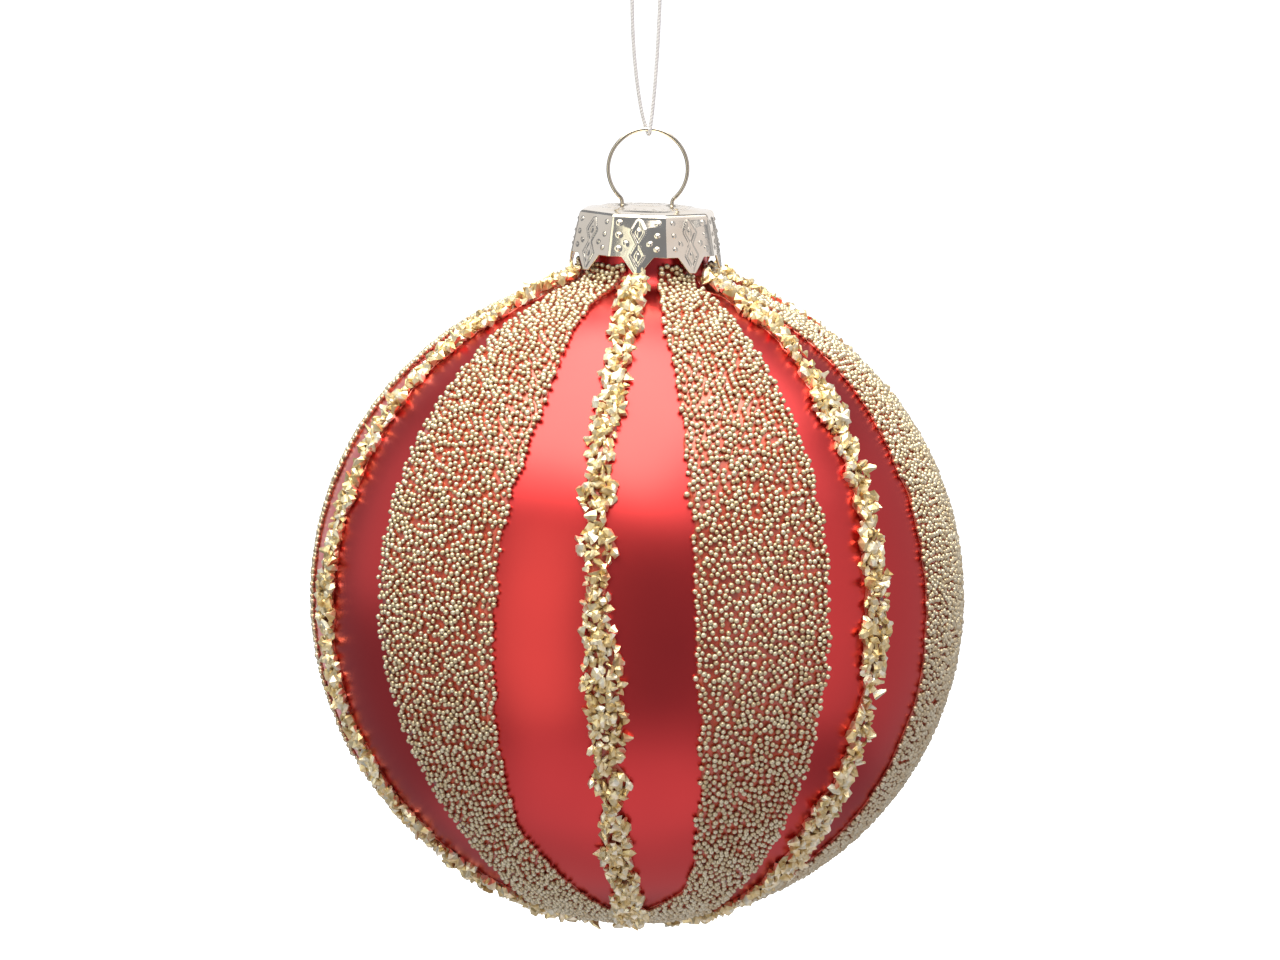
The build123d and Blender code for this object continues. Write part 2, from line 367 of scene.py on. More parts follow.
def arcPoints(cx, cz, radius, start, stop, count):
    # along a circle from one angle to the other, both in degrees
    first, step = math.radians(start), math.radians(stop - start) / count
    return [(cx + radius * math.cos(first + k * step), cz + radius * math.sin(first + k * step))
            for k in range(count + 1)]


def shoulderHub(radius, neck, blend):
    # middle of the shoulder's curve, and the latitude where it meets the ball
    x = neck + blend
    z = math.sqrt((radius + blend) ** 2 - x ** 2)
    return x, z, math.degrees(math.atan2(z, x))


def wallProfile(radius, neck, blend):
    # from the lower pole up to the start of the straight neck
    x, z, meet = shoulderHub(radius, neck, blend)
    return (arcPoints(0, 0, radius, -90, meet, ball["arcSteps"])
            + arcPoints(x, z, blend, meet - 180, -180, ball["shoulderSteps"])[1:])


def makeBall():
    r, wall, rim, n = ball["radius"], ball["wall"], ball["rimRound"], ball["segments"]
    outer = wallProfile(r, ball["neckRadius"], ball["shoulder"])
    inner = wallProfile(r - wall, ball["neckBore"], ball["shoulder"])
    lip = arcPoints(ball["neckRadius"] - rim, neckTop - rim, rim, 0, 90, ball["rimSteps"])
    lip += arcPoints(ball["neckBore"] + rim, neckTop - rim, rim, 90, 180, ball["rimSteps"])
    profile = outer[1:] + lip + inner[:0:-1]        # up the outside, over the lip and down the inside
    verts = [Vector((x * math.sin(2 * math.pi * s / n), -x * math.cos(2 * math.pi * s / n), z)) + centre
             for x, z in profile for s in range(n)]
    faces = ringQuads(len(profile), n)
    silvered = range((len(outer) + len(lip) - 2) * n, len(faces))
    verts += [centre + Vector((0, 0, -r)), centre + Vector((0, 0, wall - r))]
    low, high = len(verts) - 2, len(verts) - 1      # the two poles
    last = (len(profile) - 1) * n
    faces += [(low, (s + 1) % n, s) for s in range(n)]
    faces += [(high, last + s, last + (s + 1) % n) for s in range(n)]
    obj = meshPiece("glassBall", verts, faces, lacquer)
    obj.data.materials.append(silver)
    for face in obj.data.polygons:
        if face.index in silvered or high in face.vertices:
            face.material_index = 1
    place(obj, "ball", "red_lacquered_glass", "glass_ball")


makeBall()
print("glass ball made")

# cap: stamped eight-sided sheet

cap = {
    # millimetres, from the ball's centre
    "top": 48.4, "tip": 41.2, "topRadius": 8.6, "hemRadius": 10.05,
    "turn": 16.0,              # one corner's angle from +X
    "sheet": 0.25, "edgeRound": 0.6,
    "notchTop": 43.2, "notchHalf": 1.7, "hemHalf": 3.3,
    "rows": 60, "columns": 56, "topRings": 22, "edgeSteps": 6,
    "crowding": 0.35,          # how much closer the columns stand at the corners
    # how far a corner is drawn in, from what share of the facet, and how near the middle of the top
    "cornerEase": 0.35, "cornerFrom": 0.93, "topEase": 4,
    # stamping on the facets: height and most height, lozenges and dots
    "emboss": 0.16, "most": 1.15,
    "diamond": (0.88, 1.62), "diamondAt": (46.2, 43.35),
    "diamondHeight": 0.9, "diamondLine": 0.17, "diamondCore": 0.42,
    "dotRadius": 0.34, "dots": ((2.4, 47.35), (2.4, 45.85), (2.4, 44.2), (1.52, 44.85)),
    # how far each facet bulges, the share of its height that this takes, and how it leans to one side
    "bulge": 0.20, "bulgeOver": 0.2,
    "twists": (0.0, 0.05, -0.04, 0.03, -0.10, 0.18, 0.06, 0.0),
    # the top: radius, width and height of each plain ring, with the boss in the middle
    "rings": ((5.9, 0.34, 0.12), (1.9, 0.28, 0.10), (0.0, 0.80, 0.14)),
    "rope": (4.75, 0.28, 0.12), "ropeBeads": 26, "ropeDip": 0.45,
    "crown": 0.55, "crownRadius": 7.6,         # how far the middle of the top is raised
    # dimples that the wire's legs go through: place, radius and depth, then their raised lip
    "legX": 3.10, "dimple": 0.28, "dimpleDepth": 0.25,
    "lipRadius": 0.62, "lipWidth": 0.20, "lipHeight": 0.14,
}


def bell(x):
    return math.exp(-x * x)


def mound(x):
    # one in the middle, nothing from one on
    return max(0.0, 1 - x * x)


def facetRelief(u, z):
    # height of the stamping at u across the facet and z up it
    w, h = cap["diamond"]
    d = min(abs(u) / w + abs(z - at) / h for at in cap["diamondAt"])
    height = bell((d - 1) / cap["diamondLine"]) + mound(d / cap["diamondCore"])
    height *= cap["diamondHeight"]
    height += sum(mound(math.hypot(abs(u) - x, z - at) / cap["dotRadius"]) for x, at in cap["dots"])
    return cap["emboss"] * min(height, cap["most"])


def topRelief(x, y):
    # plain rings, a rope of small beads between them, the crown, and the lips of the dimples
    r = math.hypot(x, y)
    height = sum(high * bell((r - at) / width) for at, width, high in cap["rings"])
    at, width, high = cap["rope"]
    beading = 1 - cap["ropeDip"] + cap["ropeDip"] * math.sin(cap["ropeBeads"] * math.atan2(y, x))
    height += high * bell((r - at) / width) * beading
    height += cap["crown"] * mound(r / cap["crownRadius"])
    leg = math.hypot(abs(x) - cap["legX"], y)
    height += cap["lipHeight"] * bell((leg - cap["lipRadius"]) / cap["lipWidth"])
    return height - cap["dimpleDepth"] * bell(leg / cap["dimple"])


def hemLine(u):
    # the hem rises from the point in a facet's middle to the notch at its corners
    half = facetHalf(cap["notchTop"])
    start, stop = half - cap["hemHalf"], half - cap["notchHalf"]
    share = min(1.0, max(0.0, (abs(u) - start) / (stop - start)))
    return cap["tip"] + share * (cap["notchTop"] - cap["tip"])


def capFlat(z):
    share = (cap["top"] - z) / (cap["top"] - cap["tip"])
    return (cap["topRadius"] + share * (cap["hemRadius"] - cap["topRadius"])) * math.cos(math.pi / 8)


def facetHalf(z):
    return capFlat(z) * math.tan(math.pi / 8)


def facetTurn(facet):
    return math.radians(cap["turn"] + 22.5 + 45 * facet)


def facetColumns():
    # shares across a facet from -1 to 1, closer together at its corners
    n, crowding = cap["columns"], cap["crowding"]
    even = [-1 + 2 * k / n for k in range(n)]
    return [crowding * 0.5 * e * (3 - e * e) + (1 - crowding) * e for e in even]


def cornerCut(share):
    return cap["cornerEase"] * max(0.0, abs(share) - cap["cornerFrom"])


def facetPoint(facet, out, across, z):
    turn = facetTurn(facet)
    c, s = math.cos(turn), math.sin(turn)
    return Vector((out * c - across * s, out * s + across * c, z))


def capSide(share, facet, t):
    # t runs from the rounded edge down to the hem
    high = cap["top"] - cap["edgeRound"]
    z = high + t * (hemLine(share * facetHalf(cap["notchTop"])) - high)
    u = share * facetHalf(z)
    swell = (cap["bulge"] + cap["twists"][facet] * share) * (1 - share ** 2) * min(1.0, t / cap["bulgeOver"])
    return facetPoint(facet, capFlat(z) + facetRelief(u, z) + swell - cornerCut(share), u, z)


def capTop(share, facet, inset, z):
    out = inset - cornerCut(share) * min(1.0, inset / cap["topEase"])
    return facetPoint(facet, out, share * inset * math.tan(math.pi / 8), z)


def makeCap():
    around = [(share, facet) for facet in range(8) for share in facetColumns()]
    high = cap["top"] - cap["edgeRound"]
    flatTop = capFlat(high) - cap["edgeRound"]
    last = cap["topRings"] - 1
    rings = []
    for k in range(1, last + 1):                             # the flat top, from the middle out
        ring = [capTop(share, facet, flatTop * k / last, cap["top"]) for share, facet in around]
        if k < last:
            for v in ring:
                v.z += topRelief(v.x, v.y)
        rings.append(ring)
    for k in range(1, cap["edgeSteps"] + 1):                 # the rounded edge
        a = math.pi / 2 * k / cap["edgeSteps"]
        inset, z = flatTop + cap["edgeRound"] * math.sin(a), high + cap["edgeRound"] * math.cos(a)
        rings.append([capTop(share, facet, inset, z) for share, facet in around])
    for k in range(1, cap["rows"] + 1):                      # the facets down to the hem
        rings.append([capSide(share, facet, k / cap["rows"]) for share, facet in around])
    n = len(around)
    verts = [v * mm + centre for ring in rings for v in ring]
    faces = [(a, d, c, b) for a, b, c, d in ringQuads(len(rings), n)]
    verts.append(Vector((0, 0, cap["top"] + topRelief(0, 0))) * mm + centre)
    faces += [(len(verts) - 1, s, (s + 1) % n) for s in range(n)]
    obj = meshPiece("cap", verts, faces, capLook)
    wall = obj.modifiers.new("sheet", "SOLIDIFY")
    wall.thickness, wall.offset = cap["sheet"] * mm, -1
    place(obj, "cap", "cap_sheet", "cap")


makeCap()
print("cap made")

# wire clip: ring and spring legs bent from one wire

clip = {
    # millimetres, heights from the ball's centre
    "wire": 0.48, "ringRadius": 4.92, "ringZ": 53.45, "bend": 0.8,
    "ringOpen": 47.0,          # degrees below level at which the ring turns into its legs
    "splayZ": 45.4, "wallZ": 42.0, "toeZ": 35.6, "tipZ": 33.2, "wallGap": 0.07, "toeIn": 0.9,
    "sides": 18, "bendSteps": 10, "ringSteps": 60,
}


def tubeAlong(name, points, radius, sides, material):
    # a round wire through the points, its section carried along without twisting
    n = len(points)
    tangents = [(points[min(k + 1, n - 1)] - points[max(k - 1, 0)]).normalized() for k in range(n)]
    normal = tangents[0].orthogonal().normalized()
    angles = [2 * math.pi * s / sides for s in range(sides)]
    verts = []
    for point, tangent in zip(points, tangents):
        normal = (normal - tangent * normal.dot(tangent)).normalized()
        side = tangent.cross(normal)
        verts += [point + radius * (math.cos(a) * normal + math.sin(a) * side) for a in angles]
    faces = ringQuads(n, sides)
    faces += [tuple(range(sides))[::-1], tuple((n - 1) * sides + s for s in range(sides))]
    return meshPiece(name, verts, faces, material)


def roundCorners(points, radius, count=8):
    # straight runs joined by tangent arcs
    out = [points[0]]
    for a, b, c in zip(points, points[1:], points[2:]):
        u, v = (a - b).normalized(), (c - b).normalized()
        half = u.angle(v) / 2
        reach = radius / math.tan(half)
        hub = b + (u + v).normalized() * radius / math.sin(half)
        p, q = b + u * reach - hub, b + v * reach - hub
        turn = p.angle(q)
        for k in range(count + 1):
            t = k / count
            out.append(hub + (p * math.sin((1 - t) * turn) + q * math.sin(t * turn)) / math.sin(turn))
    return out + [points[-1]]


def makeClip():
    # one half from the leg's tip to the ring's top, then its mirror image
    opened, bend, ring = math.radians(clip["ringOpen"]), clip["bend"], clip["ringRadius"]
    legX = ring * math.cos(opened) - bend * (1 - math.cos(opened))
    legTop = clip["ringZ"] - (ring + bend) * math.sin(opened)
    wallX = ball["neckBore"] / mm - clip["wire"] / 2 - clip["wallGap"]
    corners = [(wallX - clip["toeIn"], clip["tipZ"]), (wallX, clip["toeZ"]), (wallX, clip["wallZ"]),
               (legX, clip["splayZ"]), (legX, legTop)]
    arcs = arcPoints(legX + bend, legTop, bend, 180, 180 - clip["ringOpen"], clip["bendSteps"])[1:]
    arcs += arcPoints(0, clip["ringZ"], ring, -clip["ringOpen"], 90, clip["ringSteps"])[1:]
    half = roundCorners([Vector((x, 0, z)) for x, z in corners], bend) + [Vector((x, 0, z)) for x, z in arcs]
    path = half + [Vector((-p.x, 0, p.z)) for p in half[-2::-1]]
    path = [p * mm + centre for p in path]
    obj = tubeAlong("wireClip", path, clip["wire"] / 2 * mm, clip["sides"], wireLook)
    place(obj, "clip", "clip_wire", "wire_clip")


makeClip()
print("wire clip made")

# geometry nodes helpers

scattering = {
    "density": 1.2e7,              # points tried per square metre
    "toneSeed": 7,
    "turn": (6.3, 6.3, 6.3),       # a whole turn about each axis
}


def newGeometryTree(name, inputs):
    tree = bpy.data.node_groups.new(name, "GeometryNodeTree")
    tree.interface.new_socket("Geometry", in_out="INPUT", socket_type="NodeSocketGeometry")
    for label, (kind, value) in inputs.items():
        socket = tree.interface.new_socket(label, in_out="INPUT", socket_type="NodeSocket" + kind)
        socket.default_value = value
    tree.interface.new_socket("Geometry", in_out="OUTPUT", socket_type="NodeSocketGeometry")
    return tree, addNode(tree, "NodeGroupInput"), addNode(tree, "NodeGroupOutput")


def liveSocket(sockets, label):
    return next(s for s in sockets if s.enabled and s.name == label)


def randomValue(tree, low, high, seed, kind="FLOAT"):
    # low and high are numbers or sockets, and every seed is fixed
    node = addNode(tree, "FunctionNodeRandomValue", data_type=kind)
    for label, value in (("Min", low), ("Max", high), ("Seed", seed)):
        socket = liveSocket(node.inputs, label)
        if hasattr(value, "node"):
            tree.links.new(value, socket)
        else:
            socket.default_value = value
    return next(s for s in node.outputs if s.enabled)


def vectorMath(tree, operation, a, b):
    node = addNode(tree, "ShaderNodeVectorMath", operation=operation)
    tree.links.new(a, node.inputs[0])
    other = node.inputs["Scale"] if operation == "SCALE" else node.inputs[1]
    if hasattr(b, "node"):
        tree.links.new(b, other)
    else:
        other.default_value = b
    return node.outputs[0]


def scatter(tree, entry):
    # points kept apart on the faces, each with its own stored tone
    spread = addNode(tree, "GeometryNodeDistributePointsOnFaces", {"Density Max": scattering["density"]},
                     distribute_method="POISSON")
    tree.links.new(entry.outputs["Geometry"], spread.inputs["Mesh"])
    tree.links.new(entry.outputs["Spacing"], spread.inputs["Distance Min"])
    tree.links.new(entry.outputs["Seed"], spread.inputs["Seed"])
    tone = addNode(tree, "GeometryNodeStoreNamedAttribute", {"Name": "tone"}, data_type="FLOAT",
                   domain="POINT")
    tree.links.new(spread.outputs["Points"], tone.inputs["Geometry"])
    tree.links.new(randomValue(tree, 0.0, 1.0, scattering["toneSeed"]), liveSocket(tone.inputs, "Value"))
    return tone.outputs["Geometry"], spread.outputs["Normal"]


def raisePoints(tree, points, normal, height):
    move = addNode(tree, "GeometryNodeSetPosition")
    tree.links.new(points, move.inputs["Geometry"])
    tree.links.new(vectorMath(tree, "SCALE", normal, height), move.inputs["Offset"])
    return move.outputs["Geometry"]


def turnedCopies(tree, points, shape, size, seed, inputs=None):
    # the shape set at every point, turned at random and sized by the vector
    copies = addNode(tree, "GeometryNodeInstanceOnPoints", inputs)
    turn = randomValue(tree, (0, 0, 0), scattering["turn"], seed, "FLOAT_VECTOR")
    tree.links.new(points, copies.inputs["Points"])
    tree.links.new(shape, copies.inputs["Instance"])
    tree.links.new(turn, copies.inputs["Rotation"])
    tree.links.new(size, copies.inputs["Scale"])
    solid = addNode(tree, "GeometryNodeRealizeInstances")
    tree.links.new(copies.outputs["Instances"], solid.inputs["Geometry"])
    return solid.outputs["Geometry"]


def closeTree(tree, geometry, leaving, material):
    paint = addNode(tree, "GeometryNodeSetMaterial")
    paint.inputs["Material"].default_value = material
    tree.links.new(geometry, paint.inputs["Geometry"])
    tree.links.new(paint.outputs["Geometry"], leaving.inputs["Geometry"])


def grow(name, carrier, tree, values):
    # the modifier's result as a plain mesh
    modifier = carrier.modifiers.new("grow", "NODES")
    modifier.node_group = tree
    for item in tree.interface.items_tree:
        if item.in_out == "INPUT" and item.name in values:
            modifier[item.identifier] = values[item.name]
    bpy.context.view_layer.update()
    graph = bpy.context.evaluated_depsgraph_get()
    mesh = bpy.data.meshes.new_from_object(carrier.evaluated_get(graph))
    mesh.name = name
    obj = bpy.data.objects.new(name, mesh)
    scene.collection.objects.link(obj)
    carrier.modifiers.clear()
    bpy.data.objects.remove(carrier)
    return obj


# decoration on the ball


def onBall(lon, lat, height):
    # a place over the glass; latitudes past the shoulder's start climb its curve and then the neck
    r, blend = ball["radius"], ball["shoulder"]
    x, z, meet = shoulderHub(r, ball["neckRadius"], blend)
    turn = (lat - meet) * r / blend
    if turn <= 0:
        a = math.radians(lat)
        out, up = (r + height) * math.cos(a), (r + height) * math.sin(a)
    else:
        a = math.radians(180 + max(0, meet - turn))
        climb = blend * math.radians(max(0, turn - meet))
        out, up = x + (blend - height) * math.cos(a), z + (blend - height) * math.sin(a) + climb
    b = math.radians(lon)
    return centre + Vector((out * math.sin(b), -out * math.cos(b), up))


def heaped(lat, extra):
    # the decoration is laid thicker round the neck
    t = min(1.0, max(0.0, (lat - glue["heapFrom"]) / glue["heapOver"]))
    return glue["thickness"] + extra * t * t * (3 - 2 * t)


def degreesAcross(width, lat):
    # a width along the ball as degrees of longitude, which stop growing near the neck
    return math.degrees(width / (ball["radius"] * math.cos(math.radians(min(lat, glue["evenFrom"])))))


def wave(lat, index, strength, fineness, step, spot):
    # a slow wandering along one stripe or line, the same at every run
    return strength * noise.noise((lat * fineness, index * step, spot))


def between(knots, lat):
    # straight lines between the outline's few points, each (latitude, value, value)
    for (a, *low), (b, *high) in zip(knots, knots[1:]):
        if lat >= b:
            t = min(1.0, (a - lat) / (a - b))
            return [p + t * (q - p) for p, q in zip(low, high)]
    return list(knots[-1][1:])


def stripeSheet(name, edges, low, high, heightAt, rows, columns, material):
    # a strip that lies on the ball; edges(latitude) gives both sides as longitudes
    verts = []
    for k in range(rows + 1):
        lat = low + (high - low) * k / rows
        left, right = edges(lat)
        verts += [onBall(left + (right - left) * c / columns, lat, heightAt(lat)) for c in range(columns + 1)]
    w = columns + 1
    faces = [(k * w + c, k * w + c + 1, (k + 1) * w + c + 1, (k + 1) * w + c)
             for k in range(rows) for c in range(columns)]
    return meshPiece(name, verts, faces, material)


beads = {
    # outlines of the hand-laid stripes: latitude, left and right edge in degrees of longitude
    "outlines": (
        ((82, -59, -17), (76, -58, -24), (70, -57, -27), (60, -55.6, -25.5), (50, -54, -23.5),
         (40, -53.5, -23), (20, -52.6, -25.3), (0, -51.4, -25.4), (-20, -47.9, -25.9), (-40, -43.8, -26.1),
         (-50, -43.5, -21.6), (-58, -43.5, -17.5), (-66, -49, -11), (-70, -56, -6), (-85, -68, -4)),
        ((82, 12, 44), (76, 10, 43), (70, 8, 40), (60, 7.5, 37), (50, 8.7, 36), (30, 9.3, 36), (0, 10, 35.8),
         (-20, 12.6, 35.3), (-40, 14.7, 35.6), (-50, 17.3, 36.3), (-58, 17, 37.4), (-62, 14, 38.5),
         (-67, 8, 42), (-72, 0, 45), (-85, -4, 48)),
        ((82, 66, 98), (70, 65, 98), (50, 64.5, 95), (30, 62.5, 93), (10, 62, 92.5), (0, 62.5, 92),
         (-20, 62, 92), (-40, 60.8, 93), (-50, 57.5, 95), (-58, 54, 98), (-70, 50, 105), (-85, 48, 108)),
    ),
    # each stripe takes one of the outlines, turned on by so many degrees
    "stripes": ((0, 0), (1, 0), (2, 0), (1, 116), (0, 238), (1, 236)),
    # how an edge strays: degrees, fineness, step to the next stripe and to the other edge
    "wander": (0.9, 0.22, 7.3), "edgeStep": 4.1,
    "top": 82.0, "bottom": -85.0, "rows": 120, "columns": 14,
    "heap": 0.30 * mm,                         # how much thicker round the neck
    "spacing": 0.605 * mm, "smallest": 0.57 * mm, "largest": 0.80 * mm, "pile": 0.10 * mm,
    "standing": 0.36,                          # a bead's middle over the glue, as a share of its size
    "segments": 8, "rings": 5,
    "squeeze": ((0.93, 0.93, 0.93), (1.07, 1.07, 1.12)),
    "seed": 20,
}

chips = {
    # middle lines: latitude and longitude
    "routes": (
        ((80, -8), (70, -7), (60, -6.5), (50, -7), (30, -8), (10, -7.3), (0, -6.5), (-20, -4.8), (-40, -3.5),
         (-55, -2), (-70, 0), (-82, 0)),
        ((80, 62), (70, 57), (60, 53), (50, 50), (40, 48.3), (20, 47), (0, 46), (-20, 46), (-40, 46),
         (-55, 48.5), (-70, 53), (-82, 56)),
        ((80, -75), (50, -71), (20, -70.4), (0, -71.5), (-20, -69.7), (-40, -64.8), (-55, -60.5), (-70, -56),
         (-82, -54)),
    ),
    # each line takes one of the routes, turned on by so many degrees
    "lines": ((0, 0), (1, 0), (0, 116), (1, 122), (0, 235), (2, 0)),
    "halfWidth": 1.60 * mm,
    "widest": 9.0,                             # degrees each side, near the poles
    # waves of width, as shares of it, and of the middle, in degrees: strength, fineness, step, spot
    "lumps": 0.8, "lumpWaves": ((0.7, 0.14, 7.3, 0.5), (0.8, 0.34, 3.1, 2.5)),
    "sway": (0.6, 0.12, 5.7, 9.5),
    "top": 80.2, "bottom": -82.0, "rows": 200, "columns": 4,
    "heap": 0.90 * mm,                         # how much thicker round the neck
    "spacing": 0.68 * mm, "smallest": 1.20 * mm, "largest": 2.20 * mm, "pile": 0.50 * mm,
    "standing": 0.20 * mm,                     # lowest height of a chip's middle over the glue
    "cut": ((0.85, 0.45, 0.40), (1.15, 0.85, 0.80)),
    "jitter": 0.70 * mm, "grain": 900.0,       # how far, and how finely, the corners are knocked about
    "seed": 40,
}

glue = {
    "thickness": 0.10 * mm,
    "inset": 0.20 * mm, "bottomInset": 0.5, "topInset": 0.3,    # sides, then degrees at the ends
    "rows": 120,
    "heapFrom": 64, "heapOver": 11,            # degrees of latitude
    "evenFrom": 76,                            # latitude from which a width takes no more degrees
}


def beadEdges(index, inset=0.0):
    outline, turn = beads["stripes"][index]

    def edges(lat):
        left, right = between(beads["outlines"][outline], lat)
        stray = [wave(lat, index, *beads["wander"], side * beads["edgeStep"]) for side in (0, 1)]
        across = degreesAcross(inset, lat)
        return left + turn + stray[0] + across, right + turn + stray[1] - across
    return edges


def chipEdges(index, inset=0.0):
    route, turn = chips["lines"][index]

    def edges(lat):
        lump = sum(wave(lat, index, *each) for each in chips["lumpWaves"])
        width = chips["halfWidth"] * (1 + chips["lumps"] * lump) - inset
        half = min(degreesAcross(width, lat), chips["widest"])
        middle = wave(lat, index, *chips["sway"]) + between(chips["routes"][route], lat)[0] + turn
        return middle - half, middle + half
    return edges


def beadTree():
    tree, entry, leaving = newGeometryTree("beadLayer", {
        "Spacing": ("Float", beads["spacing"]), "Smallest": ("Float", beads["smallest"]),
        "Largest": ("Float", beads["largest"]), "Pile": ("Float", beads["pile"]),
        "Seed": ("Int", beads["seed"])})
    points, normal = scatter(tree, entry)
    spread = mathNode(tree, "ADD", randomValue(tree, 0.0, 0.5, 11), randomValue(tree, 0.0, 0.5, 12))
    growth = mathNode(tree, "SUBTRACT", entry.outputs["Largest"], entry.outputs["Smallest"])
    size = mathNode(tree, "ADD", entry.outputs["Smallest"], mathNode(tree, "MULTIPLY", spread, growth))
    height = mathNode(tree, "ADD", mathNode(tree, "MULTIPLY", size, beads["standing"]),
                      randomValue(tree, 0.0, entry.outputs["Pile"], 13))
    points = raisePoints(tree, points, normal, height)
    globe = addNode(tree, "GeometryNodeMeshUVSphere", {"Segments": beads["segments"], "Rings": beads["rings"],
                                                       "Radius": 0.5})
    smooth = addNode(tree, "GeometryNodeSetShadeSmooth")
    tree.links.new(globe.outputs["Mesh"], smooth.inputs["Geometry"])
    squeeze = randomValue(tree, *beads["squeeze"], 15, "FLOAT_VECTOR")
    scale = vectorMath(tree, "SCALE", squeeze, size)
    solid = turnedCopies(tree, points, smooth.outputs["Geometry"], scale, 14)
    closeTree(tree, solid, leaving, beadLook)
    return tree


def makeBeads():
    tree = beadTree()
    for k in range(len(beads["stripes"])):
        sheet = stripeSheet(f"beadCarrier{k + 1}", beadEdges(k), beads["bottom"], beads["top"],
                            lambda lat: heaped(lat, beads["heap"]), beads["rows"], beads["columns"], beadLook)
        obj = grow(f"beadStripe{k + 1}", sheet, tree, {
            "Spacing": beads["spacing"], "Smallest": beads["smallest"], "Largest": beads["largest"],
            "Pile": beads["pile"], "Seed": beads["seed"] + k})
        place(obj, "ball", "bead_glass", f"bead_stripe_{k + 1}")
        print("bead stripe", k + 1, len(obj.data.polygons) // (beads["segments"] * beads["rings"]), "beads")


def chipShapes(tree):
    # two shapes to pick from: a many-sided crystal and a tapered shard
    crystal = addNode(tree, "GeometryNodeMeshIcoSphere", {"Radius": 0.5, "Subdivisions": 1})
    shard = addNode(tree, "GeometryNodeMeshCone", {"Vertices": 5, "Side Segments": 2, "Radius Top": 0.12,
                                                   "Radius Bottom": 0.42, "Depth": 1.0})
    both = addNode(tree, "GeometryNodeJoinGeometry")
    for shape in (crystal, shard):
        single = addNode(tree, "GeometryNodeGeometryToInstance")
        tree.links.new(shape.outputs["Mesh"], single.inputs["Geometry"])
        tree.links.new(single.outputs["Instances"], both.inputs["Geometry"])
    return both.outputs["Geometry"]


def knockAbout(tree, geometry, entry):
    # every corner is moved, so no two chips are alike
    rough = addNode(tree, "ShaderNodeTexNoise", {"Detail": 1.0})
    tree.links.new(addNode(tree, "GeometryNodeInputPosition").outputs[0], rough.inputs["Vector"])
    tree.links.new(entry.outputs["Grain"], rough.inputs["Scale"])
    away = vectorMath(tree, "SUBTRACT", rough.outputs["Color"], (0.5, 0.5, 0.5))
    knock = addNode(tree, "GeometryNodeSetPosition")
    tree.links.new(geometry, knock.inputs["Geometry"])
    tree.links.new(vectorMath(tree, "SCALE", away, entry.outputs["Jitter"]), knock.inputs["Offset"])
    flat = addNode(tree, "GeometryNodeSetShadeSmooth", {"Shade Smooth": False})
    tree.links.new(knock.outputs["Geometry"], flat.inputs["Geometry"])
    return flat.outputs["Geometry"]


def chipTree():
    tree, entry, leaving = newGeometryTree("chipLine", {
        "Spacing": ("Float", chips["spacing"]), "Smallest": ("Float", chips["smallest"]),
        "Largest": ("Float", chips["largest"]), "Pile": ("Float", chips["pile"]),
        "Jitter": ("Float", chips["jitter"]), "Grain": ("Float", chips["grain"]),
        "Seed": ("Int", chips["seed"])})
    points, normal = scatter(tree, entry)
    height = mathNode(tree, "ADD", chips["standing"], randomValue(tree, 0.0, entry.outputs["Pile"], 31))
    points = raisePoints(tree, points, normal, height)
    cut = randomValue(tree, *chips["cut"], 33, "FLOAT_VECTOR")
    size = randomValue(tree, entry.outputs["Smallest"], entry.outputs["Largest"], 34)
    scale = vectorMath(tree, "SCALE", cut, size)
    solid = turnedCopies(tree, points, chipShapes(tree), scale, 32, {"Pick Instance": True})
    closeTree(tree, knockAbout(tree, solid, entry), leaving, chipLook)
    return tree


def makeChips():
    tree = chipTree()
    for k in range(len(chips["lines"])):
        sheet = stripeSheet(f"chipCarrier{k + 1}", chipEdges(k), chips["bottom"], chips["top"],
                            lambda lat: heaped(lat, chips["heap"]), chips["rows"], chips["columns"], chipLook)
        obj = grow(f"chipLine{k + 1}", sheet, tree, {
            "Spacing": chips["spacing"], "Smallest": chips["smallest"], "Largest": chips["largest"],
            "Pile": chips["pile"], "Jitter": chips["jitter"], "Grain": chips["grain"],
            "Seed": chips["seed"] + k})
        place(obj, "ball", "chip_glass", f"chip_line_{k + 1}")
        print("chip line", k + 1, len(obj.data.polygons), "faces")


def makeGlue():
    # the thin films under the beads and chips, kept just inside their outlines
    for kind, edges, over, count in (("bead", beadEdges, beads, len(beads["stripes"])),
                                     ("chip", chipEdges, chips, len(chips["lines"]))):
        low, high = over["bottom"] + glue["bottomInset"], over["top"] - glue["topInset"]
        for k in range(count):
            film = stripeSheet(f"{kind}Glue{k + 1}", edges(k, glue["inset"]), low, high,
                               lambda lat: glue["thickness"], glue["rows"], over["columns"], glueLook)
            wall = film.modifiers.new("film", "SOLIDIFY")
            wall.thickness, wall.offset = glue["thickness"], -1
            place(film, "ball", "clear_glue", f"{kind}_glue_{k + 1}")


makeBeads()
makeChips()
makeGlue()
print("decoration made")

# floor, world and soft boxes

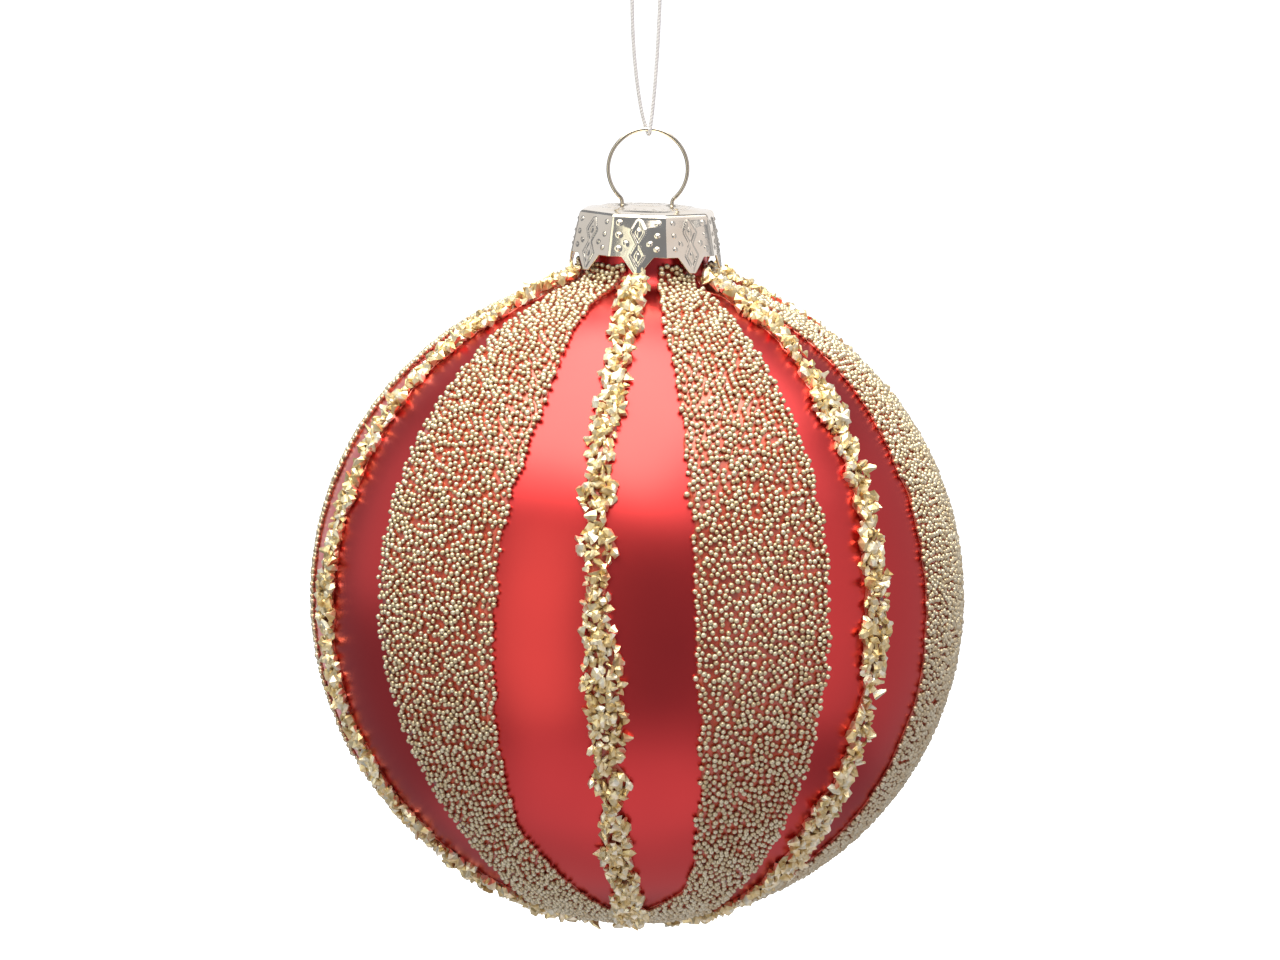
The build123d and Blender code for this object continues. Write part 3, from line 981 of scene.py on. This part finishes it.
studio = {
    "floorZ": -0.30, "floorSide": 9.0,
    "room": 0.26,                # brightness of the surroundings that the pieces mirror
    "roomColour": (0.90, 0.97, 1.12),
    # azimuth, elevation, distance, width, height, brightness and colour of each soft box
    "boxes": {
        "overheadBox": (-36, 79, 1.1, 1.35, 1.30, 3.0, (1.0, 1.0, 0.84)),
        "ceilingBox": (-20, 82, 1.1, 2.00, 2.00, 1.3, (1.0, 0.97, 0.92)),
        "leftBox": (-36, -5, 1.3, 0.74, 1.66, 0.86, (1.0, 1.0, 0.80)),
        "rightBox": (61, -4, 1.3, 1.45, 1.56, 0.43, (1.0, 0.90, 0.86)),
        "upperRightBox": (80, 37, 1.3, 0.50, 0.42, 0.75, (1.0, 0.97, 0.95)),
        "sideBox": (-100, 14, 1.3, 1.10, 0.90, 0.34, (1.0, 0.96, 0.93)),
        "farSideBox": (115, 0, 1.3, 1.00, 1.60, 0.22, (1.0, 0.95, 0.95)),
        "backBox": (180, 5, 1.5, 2.00, 1.40, 0.58, (1.0, 0.96, 0.92)),
        "bounceBox": (-12, -64, 1.0, 1.10, 0.95, 0.22, (1.0, 0.80, 0.86)),
        "floorGlow": (0, -89, 1.0, 1.70, 1.70, 0.26, (1.0, 0.97, 0.94)),
    },
}


def makeFloor():
    material = newMaterial("paleFloor", Base_Color=(0.9, 0.9, 0.9, 1), Emission_Color=(1, 1, 1, 1),
                           Emission_Strength=1.0)[0]
    side, z = studio["floorSide"], studio["floorZ"]
    corners = [(-side, -side, z), (side, -side, z), (side, side, z), (-side, side, z)]
    floor = meshPiece("floor", corners, [(0, 1, 2, 3)], material, False)
    floor.visible_diffuse = floor.visible_glossy = floor.visible_shadow = False


def makeWorld():
    # plain white behind the pieces, and a dimmer room for them to mirror
    world = bpy.data.worlds.new("room")
    scene.world = world
    world.use_nodes = True
    tree = world.node_tree
    tree.nodes.clear()
    seen = addNode(tree, "ShaderNodeBackground", {"Color": (1, 1, 1, 1)})
    felt = addNode(tree, "ShaderNodeBackground", {"Color": (*studio["roomColour"], 1),
                                                  "Strength": studio["room"]})
    mix, path = addNode(tree, "ShaderNodeMixShader"), addNode(tree, "ShaderNodeLightPath")
    out = addNode(tree, "ShaderNodeOutputWorld")
    tree.links.new(path.outputs["Is Camera Ray"], mix.inputs["Fac"])
    tree.links.new(felt.outputs[0], mix.inputs[1])
    tree.links.new(seen.outputs[0], mix.inputs[2])
    tree.links.new(mix.outputs[0], out.inputs["Surface"])


def softBox(name, azimuth, elevation, distance, width, height, brightness, colour):
    data = bpy.data.lights.new(name, "AREA")
    data.shape, data.size, data.size_y = "RECTANGLE", width, height
    data.energy = 4 * width * height * brightness      # so brightness doesn't depend on the box's size
    data.color = colour
    lamp = bpy.data.objects.new(name, data)
    scene.collection.objects.link(lamp)
    a, e = math.radians(azimuth), math.radians(elevation)
    way = Vector((math.sin(a) * math.cos(e), -math.cos(a) * math.cos(e), math.sin(e)))
    lamp.location = centre + way * distance
    lamp.rotation_euler = way.to_track_quat("Z", "Y").to_euler()


makeFloor()
makeWorld()
for name, values in studio["boxes"].items():
    softBox(name, *values)
print("floor and lights made")
